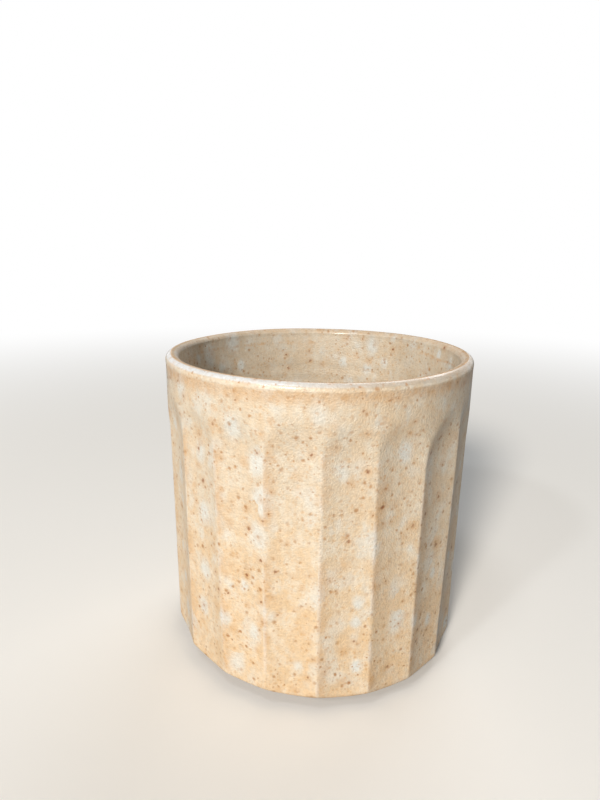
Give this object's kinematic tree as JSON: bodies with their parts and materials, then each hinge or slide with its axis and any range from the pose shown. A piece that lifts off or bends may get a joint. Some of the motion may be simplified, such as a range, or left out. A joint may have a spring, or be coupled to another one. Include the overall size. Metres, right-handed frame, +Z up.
{
  "type": "cup",
  "caption": "Handleless stoneware cup with shallow upright flutes, a rounded lip, speckled glaze inside and out and a bare turned foot ring.",
  "frame": {"origin": "on the shelf, at the centre of the foot ring", "axes": "+Z up along the axis of the cup; -Y passes through an arris, the ridge between two flutes"},
  "size_m": [0.082, 0.082, 0.082],
  "materials": {
    "stoneware_clay": "bare fired stoneware, warm tan, dry and matte, with dark iron specks",
    "outer_glaze": "satin cream glaze with bluish-white blotches, orange-tan mottling and fine brown specks",
    "liner_glaze": "the same satin speckled glaze, poured inside"
  },
  "bodies": {
    "root": {"stoneware_body": "stoneware_clay", "outer_glaze": "outer_glaze", "liner_glaze": "liner_glaze"}
  },
  "joints": []
}
